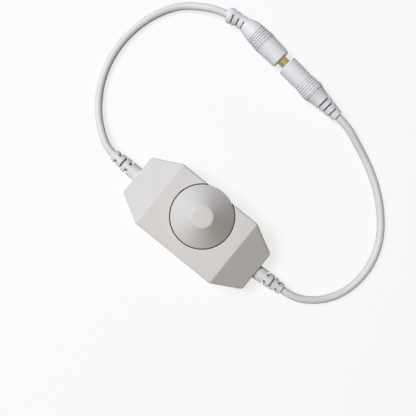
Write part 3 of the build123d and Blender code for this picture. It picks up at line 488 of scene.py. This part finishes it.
class Shape(Net):
    """A Geometry Nodes tree with named sizes, turned into a plain mesh piece."""

    def __init__(self, name):
        self.name = name
        super().__init__(bpy.data.node_groups.new(name, "GeometryNodeTree"))
        self.tree.interface.new_socket("Geometry", in_out="OUTPUT", socket_type="NodeSocketGeometry")
        self.entry = self.tree.nodes.new("NodeGroupInput")
        self.values = {}

    def size(self, name, value):
        """Adds a named input and returns its wire."""
        kind = "NodeSocketInt" if isinstance(value, int) else "NodeSocketFloat"
        item = self.tree.interface.new_socket(name, in_out="INPUT", socket_type=kind)
        self.values[item.identifier] = value
        return Wire(self, self.entry.outputs[name])

    def choose(self, kind, choices):
        """A field that gives each point the choice with its own index."""
        inputs = {"Index": self.node("GeometryNodeInputIndex")}
        inputs.update({str(turn): choice for turn, choice in enumerate(choices)})
        return self.node("GeometryNodeIndexSwitch", {"data_type": kind, "choices": len(choices)}, inputs)

    def profile(self, corners, steps=6):
        """Half section in the XZ plane: corners as (radius, height, rounding)."""
        spots = self.choose("VECTOR", [self.point(radius, 0.0, height) for radius, height, _ in corners])
        line = self.node("GeometryNodeMeshLine", None, {"Count": len(corners)})
        line = self.node("GeometryNodeSetPosition", None, {"Geometry": line, "Position": spots})
        line = self.node("GeometryNodeMeshToCurve", None, {"Mesh": line})
        roundings = self.choose("FLOAT", [rounding for _, _, rounding in corners])
        return self.node("GeometryNodeFilletCurve", {"mode": "POLY"},
                         {"Curve": line, "Count": steps, "Radius": roundings, "Limit Radius": True})

    def lathe(self, profile, segments, centre=(0.0, 0.0, 0.0)):
        """Surface of revolution about Z through the centre, closed at its seam and its poles."""
        columns = segments + 1
        rows = self.node("GeometryNodeAttributeDomainSize", {"component": "CURVE"}, {"Geometry": profile},
                         output="Point Count")
        grid = self.node("GeometryNodeMeshGrid", None, {"Vertices X": rows, "Vertices Y": columns})
        index = self.node("GeometryNodeInputIndex")
        row = self.maths("FLOOR", (index + 0.5) / columns)
        spot = self.node("GeometryNodeSampleIndex", {"data_type": "FLOAT_VECTOR", "domain": "POINT"},
                         {"Geometry": profile, "Value": self.node("GeometryNodeInputPosition"), "Index": row})
        radius, _, height = self.axes(spot)
        angle = (index - row * columns) * (2 * pi / segments)
        x, y, z = centre
        place = self.point(radius * self.maths("COSINE", angle) + x, radius * self.maths("SINE", angle) + y,
                           height + z)
        turned = self.node("GeometryNodeSetPosition", None, {"Geometry": grid, "Position": place})
        return self.node("GeometryNodeMergeByDistance", None, {"Geometry": turned, "Distance": WELD})

    def block(self, low, high, shape=None):
        """Box between two corners, given as triples of values or wires."""
        cube = self.node("GeometryNodeMeshCube", None, {"Size": (1.0, 1.0, 1.0)})
        shares = [axis + 0.5 for axis in self.axes(self.node("GeometryNodeInputPosition"))]
        spots = [share * (top - bottom) + bottom for share, bottom, top in zip(shares, low, high)]
        place = self.point(*(shape(*spots) if shape else spots))
        return self.node("GeometryNodeSetPosition", None, {"Geometry": cube, "Position": place})

    def joined(self, *parts):
        """Several geometries as one."""
        return self.node("GeometryNodeJoinGeometry", None, {"Geometry": list(parts)})

    def copies(self, points, geometry, turn):
        """A copy of a geometry at every point, turned about Z."""
        return self.node("GeometryNodeInstanceOnPoints", None,
                         {"Points": points, "Instance": geometry, "Rotation": self.point(0.0, 0.0, turn)})

    def piece(self, geometry, material):
        """Ends the tree, evaluates it once and returns a plain mesh object."""
        real = self.node("GeometryNodeRealizeInstances", None, {"Geometry": geometry})
        smooth = self.node("GeometryNodeSetShadeSmooth", {"domain": "FACE"}, {"Geometry": real})
        angle = self.node("GeometryNodeInputMeshEdgeAngle")
        sharp = self.node("GeometryNodeSetShadeSmooth", {"domain": "EDGE"},
                          {"Geometry": smooth, "Selection": angle > CREASE, "Shade Smooth": False})
        done = self.node("GeometryNodeSetMaterial", None, {"Geometry": sharp, "Material": material})
        self.node("NodeGroupOutput", None, {"Geometry": done})
        made = add_object(self.name, bpy.data.meshes.new(self.name))
        modifier = made.modifiers.new("shape", "NODES")
        modifier.node_group = self.tree
        for identifier, value in self.values.items():
            modifier[identifier] = value
        graph = bpy.context.evaluated_depsgraph_get()
        mesh = bpy.data.meshes.new_from_object(made.evaluated_get(graph), depsgraph=graph)
        made.modifiers.clear()
        made.data = mesh
        if not mesh.polygons:
            raise RuntimeError(f"{self.name} came out empty")
        return made


class DimmerColours(PropertyGroup):
    """Colours of the surfaces that show."""

    shell: FloatVectorProperty(name="Housing", description="Colour of the housing's plastic",
                               subtype="COLOR", size=3, min=0, max=1, default=srgb(221, 217, 212))
    knob: FloatVectorProperty(name="Knob", description="Colour of the knob's plastic",
                              subtype="COLOR", size=3, min=0, max=1, default=srgb(221, 217, 212))
    lead: FloatVectorProperty(name="Leads", description="Colour of the leads and their glands",
                              subtype="COLOR", size=3, min=0, max=1, default=srgb(229, 229, 229))
    connector: FloatVectorProperty(name="Connectors", description="Colour of the connectors' mouldings",
                                   subtype="COLOR", size=3, min=0, max=1, default=srgb(238, 238, 240))
    barrel: FloatVectorProperty(name="Barrel", description="Colour of the plug's plated barrel",
                                subtype="COLOR", size=3, min=0, max=1, default=srgb(172, 156, 108))


class KnobSizes(PropertyGroup):
    """Sizes of the knob."""

    radius: FloatProperty(name="Rim radius", description="Outer radius of the knob's rim",
                          unit="LENGTH", default=KNOB_R, min=0.005, precision=4)
    rim: FloatProperty(name="Rim height", description="Height of the upright rim",
                       unit="LENGTH", default=2.6 * MM, min=0.0005, precision=4)
    height: FloatProperty(name="Height", description="Height from the rim's underside to the disc",
                          unit="LENGTH", default=KNOB_HIGH.z - KNOB_LOW.z, min=0.004, precision=4)
    disc: FloatProperty(name="Disc radius", description="Radius of the flat disc before its edge is rounded",
                        unit="LENGTH", default=5.5 * MM, min=0.001, precision=4)
    disc_edge: FloatProperty(name="Disc edge", description="Radius of the rounding round the disc",
                             unit="LENGTH", default=1.8 * MM, min=0, precision=4)
    wall: FloatProperty(name="Wall", description="Thickness of the knob's wall",
                        unit="LENGTH", default=1.8 * MM, min=0.0005, precision=4)
    ribs: IntProperty(name="Ribs", description="Number of ribs under the knob", default=6, min=0, max=24)


class ScrewSizes(PropertyGroup):
    """Sizes of the case screws."""

    head: FloatProperty(name="Head radius", description="Radius of the pan head",
                        unit="LENGTH", default=2.3 * MM, min=0.001, precision=4)
    head_height: FloatProperty(name="Head height", description="Height of the pan head",
                               unit="LENGTH", default=1.6 * MM, min=0.0005, precision=4)
    shank: FloatProperty(name="Thread radius", description="Outer radius of the thread",
                         unit="LENGTH", default=1.25 * MM, min=0.0005, precision=4)
    pitch: FloatProperty(name="Pitch", description="Distance from one turn of the thread to the next",
                         unit="LENGTH", default=0.47 * MM, min=0.0002, precision=5)


class GripSizes(PropertyGroup):
    """Sizes of the rounded rings on the connectors' grips."""

    crown: FloatProperty(name="Crown", description="How far a ring's crown stands proud",
                         unit="LENGTH", default=0.06 * MM, min=0, precision=5)
    root: FloatProperty(name="Root", description="How deep a ring's foot sits in the grip",
                        unit="LENGTH", default=0.25 * MM, min=0, precision=5)


class StageLight(PropertyGroup):
    """Lamps and background."""

    key: FloatProperty(name="Key", description="Power of the key lamp", subtype="POWER",
                       default=24.6, min=0)
    fill: FloatProperty(name="Fill", description="Power of the fill lamp", subtype="POWER",
                        default=1.1, min=0)
    ambient: FloatProperty(name="Ambient", description="Strength of the light from all round",
                           default=0.02, min=0)
    floor: FloatVectorProperty(name="Floor", description="Colour of the floor", subtype="COLOR",
                               size=3, min=0, max=1, default=(0.94, 0.94, 0.93))
    bounce: FloatVectorProperty(name="Bounce", description="Colour of the light that the floor throws back",
                                subtype="COLOR", size=3, min=0, max=1, default=(0.42, 0.42, 0.42))


def curve_object(name, points, radius):
    """Round cord on a smooth line that has the route's points as its control points."""
    curve = bpy.data.curves.new(name, "CURVE")
    curve.dimensions = "3D"
    curve.bevel_depth = radius
    curve.bevel_resolution = 8
    curve.resolution_u = 16
    curve.use_fill_caps = True
    spline = curve.splines.new("NURBS")
    spline.points.add(len(points) - 1)
    for control, place in zip(spline.points, points):
        control.co = (*place, 1.0)
    spline.order_u = 3
    spline.use_endpoint_u = True
    return add_object(name, curve)


class DIMMER_OT_leads(Operator):
    """Lays the two leads along their routes."""

    bl_idname = "dimmer.leads"
    bl_label = "Leads"

    def execute(self, context):
        colour = context.scene.dimmer_colours.lead
        jacket = moulded("lead_jacket", colour, roughness=0.46, grain=0.5 * MM, depth=0.01 * MM)
        jack = ["jack_moulding", "jack_insert", "jack_pin", "jack_sleeve_contact"]
        plug = ["plug_moulding", "plug_barrel", "plug_insulator", "plug_inner_contact"]
        self.lay("input_cord", "input_lead", INPUT_ROUTE, INPUT_LENGTH, "connector", jack, jacket)
        self.lay("output_cord", "output_lead", OUTPUT_ROUTE, OUTPUT_LENGTH, "plug", plug, jacket)
        return {"FINISHED"}

    def lay(self, name, node, route, length, far_end, on_it, jacket):
        """One lead in place of its CAD solid."""
        cord = curve_object(name, route, LEAD_DIAMETER / 2)
        cord.data.materials.append(jacket)
        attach(cord, "housing")
        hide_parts(node)


class DIMMER_OT_knob(Operator):
    """Turns the knob from its profile, hollow underneath with a hub and ribs."""

    bl_idname = "dimmer.knob"
    bl_label = "Knob"

    def execute(self, context):
        sizes = context.scene.dimmer_knob
        shape = Shape("knob_body")
        rim_r, rim_h = shape.size("Rim radius", sizes.radius), shape.size("Rim height", sizes.rim)
        height, disc = shape.size("Height", sizes.height), shape.size("Disc radius", sizes.disc)
        disc_edge, wall = shape.size("Disc edge", sizes.disc_edge), shape.size("Wall", sizes.wall)
        ribs = shape.size("Ribs", sizes.ribs)
        bore_r, bore_top = SHAFT_R + SHAFT_GAP, SHAFT_HIGH.z + SHAFT_GAP - KNOB_LOW.z
        hub_low = BUSHING_TOP + HUB_GAP - KNOB_LOW.z
        run, rise = rim_r - disc, height - rim_h
        slant = shape.maths("SQRT", run * run + rise * rise)
        skirt_r, ceiling = rim_r - wall, height - wall
        knee = rim_h - wall * (slant - rise) / run
        neck_r = rim_r - (wall * slant + (rise - wall) * run) / rise
        spots = [(0.0, height, 0.0), (disc, height, disc_edge), (rim_r, rim_h, RIM_EDGE_R),
                 (rim_r, 0.0, RIM_EDGE_R), (skirt_r, 0.0, SKIRT_EDGE_R), (skirt_r, knee, SKIRT_EDGE_R),
                 (neck_r, ceiling, 0.0), (HUB_R, ceiling, 0.0), (HUB_R, hub_low, SKIRT_EDGE_R),
                 (bore_r, hub_low, SKIRT_EDGE_R), (bore_r, bore_top, 0.0), (0.0, bore_top, 0.0)]
        body = shape.lathe(shape.profile(spots), KNOB_SEGMENTS)
        inner = HUB_R - RIB_ROOT

        def to_wall(x, y, z):
            reach = rim_r - (wall * slant * 0.5 + (z - rim_h) * run) / rise
            share = (x - inner) / RIB_SPAN
            return share * (reach - inner) + inner, y, z

        rib = shape.block((inner, -RIB_HALF, hub_low),
                          (inner + RIB_SPAN, RIB_HALF, ceiling + wall / 2), to_wall)
        places = shape.node("GeometryNodeMeshLine", None, {"Count": ribs, "Offset": (0.0, 0.0, 0.0)})
        turn = shape.node("GeometryNodeInputIndex") * (2 * pi) / ribs
        whole = shape.joined(body, shape.copies(places, rib, turn))
        whole = shape.node("GeometryNodeTransform", None,
                           {"Geometry": whole, "Translation": (KNOB_CENTRE.x, KNOB_CENTRE.y, KNOB_LOW.z)})
        colour = context.scene.dimmer_colours.knob
        knob = shape.piece(whole, moulded("knob_plastic", colour, 0.4, depth=0.004 * MM))
        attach(knob, "knob")
        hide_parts("knob")
        return {"FINISHED"}


class DIMMER_OT_screws(Operator):
    """Sets a threaded pan head screw with a cross recess at each corner of the case."""

    bl_idname = "dimmer.screws"
    bl_label = "Case screws"

    def execute(self, context):
        sizes = context.scene.dimmer_screws
        shape = Shape("case_screw_set")
        head, head_h = shape.size("Head radius", sizes.head), shape.size("Head height", sizes.head_height)
        shank, pitch = shape.size("Thread radius", sizes.shank), shape.size("Pitch", sizes.pitch)
        length = SCREW_HIGH.z - SCREW_LOW.z
        crown = shape.profile([(0.0, 0.0, 0.0), (head, 0.0, head_h * HEAD_ROUNDING), (head, head_h, 0.0),
                               (0.0, head_h, 0.0)])
        crown = shape.lathe(crown, SCREW_SEGMENTS)
        arms = [shape.block((-x, -y, -CROSS_DEPTH), (x, y, CROSS_DEPTH))
                for x, y in ((CROSS_REACH, CROSS_HALF), (CROSS_HALF, CROSS_REACH))]
        crown = shape.node("GeometryNodeMeshBoolean", {"operation": "DIFFERENCE", "solver": "EXACT"},
                           {"Mesh 1": crown, "Mesh 2": arms})
        index = shape.node("GeometryNodeInputIndex")
        span = length - head_h - END_GAP
        steps = shape.maths("FLOOR", span * 2 / pitch)
        radius = shank - (index % 2) * THREAD_DEPTH
        taper = 1 - shape.smooth_step(index, steps * TAPER_START, steps - 1.0)
        spot = shape.point(radius * taper, 0.0, head_h * THREAD_START + index * (span / (steps - 1.0)))
        thread = shape.node("GeometryNodeMeshLine", None, {"Count": steps})
        thread = shape.node("GeometryNodeSetPosition", None, {"Geometry": thread, "Position": spot})
        thread = shape.lathe(shape.node("GeometryNodeMeshToCurve", None, {"Mesh": thread}), THREAD_SEGMENTS)
        spread_x = SCREW_HIGH.x - SCREW_LOW.x - 2 * sizes.head
        spread_y = SCREW_HIGH.y - SCREW_LOW.y - 2 * sizes.head
        places = shape.node("GeometryNodeMeshGrid", None,
                            {"Size X": spread_x, "Size Y": spread_y, "Vertices X": 2, "Vertices Y": 2})
        lift = shape.node("GeometryNodeTransform", None,
                          {"Geometry": places, "Translation": (0.0, 0.0, SCREW_LOW.z)})
        turn = shape.node("GeometryNodeInputIndex") * NEXT_TURN + FIRST_TURN
        screws = shape.copies(lift, shape.joined(crown, thread), turn)
        steel = metal("screw_steel", srgb(176, 176, 180), 0.34)
        piece = shape.piece(screws, steel)
        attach(piece, "housing")
        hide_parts("case_screws")
        return {"FINISHED"}


class DIMMER_OT_grips(Operator):
    """Puts rounded rings between the grooves of both connectors' grips."""

    bl_idname = "dimmer.grips"
    bl_label = "Grip rings"

    def execute(self, context):
        colour = context.scene.dimmer_colours.connector
        rubber = moulded("grip_plastic", colour, 0.45)
        self.rings("jack_grip_rings", JACK_GRIP, JACK_GRIP_RADII, context.scene.dimmer_grips, rubber)
        self.rings("plug_grip_rings", PLUG_GRIP, PLUG_GRIP_RADII, context.scene.dimmer_grips, rubber)
        return {"FINISHED"}

    def rings(self, name, span, radii, sizes, material):
        """Rings of one grip, each on the land between two grooves."""
        shape = Shape(name)
        crown, root = shape.size("Crown", sizes.crown), shape.size("Root", sizes.root)
        pitch = (span[1] - span[0]) / GROOVES
        half = pitch / 2 - GROOVE_WIDTH * RING_LAND
        rounding = half * RING_ROUNDING
        rings = []
        for ring in range(1, GROOVES):
            radius = radii[0] + (radii[1] - radii[0]) * ring / GROOVES
            foot = radius - root
            top = radius + crown
            section = shape.profile([(foot, -half, 0.0), (top, -half, rounding), (top, half, rounding),
                                     (foot, half, 0.0)], steps=5)
            rings.append(shape.lathe(section, RING_SEGMENTS, (0.0, 0.0, span[0] + ring * pitch)))
        whole = shape.node("GeometryNodeTransform", None,
                           {"Geometry": shape.joined(*rings), "Translation": tuple(JACK_FACE),
                            "Rotation": (0.0, pi / 2, CONNECTOR_YAW)})
        piece = shape.piece(whole, material)
        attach(piece, "housing")


def paint(material, *nodes):
    """Gives CAD nodes a finish."""
    for node in nodes:
        mesh = NODES[node].data
        mesh.materials.clear()
        mesh.materials.append(material)


class DIMMER_OT_finishes(Operator):
    """Gives every CAD node its finish."""

    bl_idname = "dimmer.finishes"
    bl_label = "Finishes"

    def execute(self, context):
        colours = context.scene.dimmer_colours
        self.outside(colours)
        self.inside()
        return {"FINISHED"}

    def outside(self, colours):
        """Finishes of what shows in normal use."""
        # Dark brown share: a dark seam line at the parting, and painted shade in the knob's recess
        paint(moulded("shell_plastic", colours.shell, 0.44, dark=shell_lines, seam_and_shade_share=(0.16, 0.1, 0.09),
                      sink=0.05 * MM, edge=0.6 * MM), "upper_shell", "lower_shell")
        # The glands get painted shade in their slots, at the default share
        gland = gland_slots(INPUT_WALL, INPUT_GLAND_TURN)
        paint(moulded("input_gland_plastic", colours.lead, 0.5, dark=gland), "input_gland")
        gland = gland_slots(OUTPUT_WALL, OUTPUT_GLAND_TURN)
        paint(moulded("output_gland_plastic", colours.lead, 0.5, dark=gland), "output_gland")
        # The connectors get painted shade in their grip grooves and tail slots, at the default share
        paint(moulded("jack_plastic", colours.connector, 0.45, dark=jack_slots), "jack_moulding")
        paint(moulded("plug_plastic", colours.connector, 0.45, dark=plug_slots), "plug_moulding")
        paint(moulded("socket_plastic", srgb(28, 28, 30), 0.4), "jack_insert", "plug_insulator")
        paint(metal("plated_brass", colours.barrel, 0.22), "plug_barrel")

    def inside(self):
        """Finishes of what the housing and the connectors hold."""
        paint(metal("contact_metal", srgb(208, 192, 150), 0.28), "jack_pin", "jack_sleeve_contact",
              "plug_inner_contact", "pot_terminals", "capacitor_leads", "transistor_leads",
              "timer_chip_legs")
        paint(metal("zinc_casting", srgb(170, 172, 174), 0.45, TURNED), "pot_bushing", "pot_shaft")
        paint(metal("can_steel", srgb(190, 190, 188), 0.36, DRAWN), "pot_can", "pot_washer", "pot_nut")
        paint(moulded("phenolic", srgb(120, 82, 48), 0.6), "resistive_track")
        paint(moulded("rotor_plastic", srgb(58, 58, 60), 0.5), "pot_wiper", "switch_case")
        paint(laminate("board_laminate", srgb(26, 92, 52), srgb(196, 158, 84)), "circuit_board")
        paint(moulded("capacitor_sleeve", srgb(32, 34, 44), 0.3), "filter_capacitor")
        paint(moulded("chip_plastic", srgb(34, 34, 34), 0.55), "transistor", "timer_chip", "diode",
              "chip_resistors")
        paint(moulded("chip_ceramic", srgb(176, 150, 112), 0.5), "chip_capacitors")
        paint(moulded("wire_red", srgb(176, 30, 26), 0.4), "input_wire_plus", "output_wire_plus")
        paint(moulded("wire_black", srgb(30, 30, 30), 0.4), "input_wire_minus", "output_wire_minus")


class DIMMER_OT_stage(Operator):
    """Sets the floor, the background, the lamps and the camera."""

    bl_idname = "dimmer.stage"
    bl_label = "Stage"

    def execute(self, context):
        light = context.scene.dimmer_light
        context.scene.view_settings.view_transform = "Standard"
        self.floor(light)
        self.world(context.scene, light)
        self.lamp("key_lamp", light.key, KEY_SIZE, KEY_PLACE, KEY_COLOUR)
        self.lamp("fill_lamp", light.fill, FILL_SIZE, FILL_PLACE, FILL_COLOUR)
        self.camera(context.scene)
        return {"FINISHED"}

    def seen(self, net):
        """1 for rays that show the background: the camera's, and those in gloss and through glass."""
        path = net.node("ShaderNodeLightPath", output="Is Camera Ray")
        total = path + path.other("Is Glossy Ray") + path.other("Is Transmission Ray")
        return net.node("ShaderNodeMath", {"operation": "MINIMUM"}, {0: total, 1: 1.0})

    def floor(self, light):
        """Pale floor that the object's shadow falls on."""
        mesh = bpy.data.meshes.new("floor")
        half = FLOOR_SPAN / 2
        corners = [(-half, -half), (half, -half), (half, half), (-half, half)]
        mesh.from_pydata([(x, y, -FLOOR_GAP) for x, y in corners], [], [(0, 1, 2, 3)])
        finish = Finish("floor_paper")
        seen = self.seen(finish)
        tone = finish.mix_colour(seen, opaque(light.bounce), opaque(light.floor))
        diffuse = finish.node("ShaderNodeBsdfDiffuse", None, {"Color": tone})
        glow = finish.node("ShaderNodeEmission", None, {"Color": WHITE, "Strength": 1.0})
        mixed = finish.node("ShaderNodeMixShader", None, {0: seen * FLOOR_GLOW, 1: diffuse, 2: glow})
        finish.node("ShaderNodeOutputMaterial", None, {"Surface": mixed})
        mesh.materials.append(finish.material)
        add_object("floor", mesh)

    def world(self, scene, light):
        """White to the eye and in gloss, dim as a light."""
        world = bpy.data.worlds.new("studio")
        world.use_nodes = True
        net = Net(world.node_tree)
        net.tree.nodes.clear()
        dim = net.node("ShaderNodeBackground", None, {"Color": AMBIENT_COLOUR, "Strength": light.ambient})
        white = net.node("ShaderNodeBackground", None, {"Color": WHITE, "Strength": 1.0})
        mixed = net.node("ShaderNodeMixShader", None, {0: self.seen(net), 1: dim, 2: white})
        net.node("ShaderNodeOutputWorld", None, {"Surface": mixed})
        scene.world = world

    def lamp(self, name, power, size, place, colour):
        """Square soft lamp that faces the object."""
        data = bpy.data.lights.new(name, "AREA")
        data.energy, data.size, data.color = power, size, colour
        lamp = add_object(name, data)
        lamp.location = place
        lamp.rotation_euler = (-place).to_track_quat("-Z", "Y").to_euler()

    def camera(self, scene):
        """Camera at the photograph's place."""
        data = bpy.data.cameras.new("camera")
        data.lens = CAMERA_LENS
        data.clip_start, data.clip_end = 0.01, 10
        camera = add_object("camera", data)
        camera.location = CAMERA_PLACE
        camera.rotation_euler = (0, 0, CAMERA_TURN)
        scene.camera = camera


class DIMMER_PT_panel(Panel):
    """Lists the dimmer's sizes, colours and operators."""

    bl_label = "LED Dimmer"
    bl_space_type = "VIEW_3D"
    bl_region_type = "UI"
    bl_category = "LED Dimmer"

    def draw(self, context):
        layout = self.layout
        for group, kind in GROUPS.items():
            for name in kind.__annotations__:
                layout.prop(getattr(context.scene, group), name)
        for operator in OPERATORS:
            layout.operator(operator.bl_idname)


GROUPS = {"dimmer_colours": DimmerColours, "dimmer_knob": KnobSizes, "dimmer_screws": ScrewSizes,
          "dimmer_grips": GripSizes, "dimmer_light": StageLight}
OPERATORS = [DIMMER_OT_stage, DIMMER_OT_leads, DIMMER_OT_finishes, DIMMER_OT_knob, DIMMER_OT_screws,
             DIMMER_OT_grips]
CLASSES = [*GROUPS.values(), *OPERATORS, DIMMER_PT_panel]


def register():
    """Registers the classes and hangs the property groups on the scene."""
    for cls in CLASSES:
        bpy.utils.register_class(cls)
    for name, group in GROUPS.items():
        setattr(bpy.types.Scene, name, PointerProperty(type=group))


def unregister():
    """Takes back what register did."""
    for name in GROUPS:
        delattr(bpy.types.Scene, name)
    for cls in reversed(CLASSES):
        bpy.utils.unregister_class(cls)


def main():
    register()
    bpy.ops.dimmer.stage()
    bpy.ops.dimmer.leads()
    bpy.ops.dimmer.finishes()
    bpy.ops.dimmer.knob()
    bpy.ops.dimmer.screws()
    bpy.ops.dimmer.grips()


if __name__ == "__main__":
    main()
